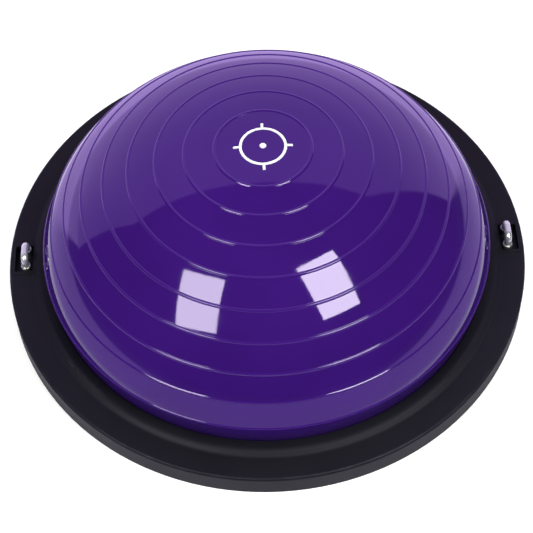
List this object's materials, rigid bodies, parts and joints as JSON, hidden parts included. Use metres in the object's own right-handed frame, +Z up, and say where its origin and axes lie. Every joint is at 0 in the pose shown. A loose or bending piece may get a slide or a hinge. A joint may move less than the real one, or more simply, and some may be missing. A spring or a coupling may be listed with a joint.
{
  "type": "balance dome trainer",
  "caption": "Air-filled ribbed half-ball dome clamped into a flat round platform, with a steel band anchor on each side.",
  "frame": {"origin": "centre of the platform at floor level, where the feet's undersides lie", "axes": "+Z up through the dome's crown; the two band anchors stand on the X axis, anchor_right at +X; -Y is towards the viewer"},
  "size_m": [0.5839, 0.584, 0.2108],
  "materials": {
    "dome_pvc": "high gloss violet PVC",
    "print_ink": "flat white screen print",
    "valve_rubber": "soft satin rubber",
    "plug_plastic": "satin white plastic",
    "platform_plastic": "satin black moulded plastic with a fine grain",
    "zinc_steel": "zinc plated",
    "anchor_steel": "bright nickel plated",
    "foot_rubber": "matt black rubber"
  },
  "bodies": {
    "platform": {"platform_top_shell": "platform_plastic", "platform_bottom_plate": "platform_plastic", "shell_screws": "zinc_steel", "valve_seat": "valve_rubber", "anchor_left": "anchor_steel", "anchor_right": "anchor_steel", "anchor_plate_left": "zinc_steel", "anchor_plate_right": "zinc_steel", "anchor_washers": "anchor_steel", "anchor_nuts": "anchor_steel", "foot_1": "foot_rubber", "foot_2": "foot_rubber", "foot_3": "foot_rubber", "foot_4": "foot_rubber", "foot_5": "foot_rubber", "foot_6": "foot_rubber", "foot_7": "foot_rubber", "foot_8": "foot_rubber"},
    "dome": {"dome_bladder": "dome_pvc", "crown_print": "print_ink"},
    "plug": {"valve_plug": "plug_plastic"}
  },
  "joints": [
    {"name": "dome_press", "type": "slide", "parent": "platform", "child": "dome", "axis": [0, 0, -1], "range_m": [0, 0.05], "stiffness_N_per_m": 14700, "springref_m": -0.002, "deforming": ["dome_bladder"]},
    {"name": "plug_pull", "type": "slide", "parent": "platform", "child": "plug", "axis": [0, 0, -1], "range_m": [0, 0.03]}
  ]
}
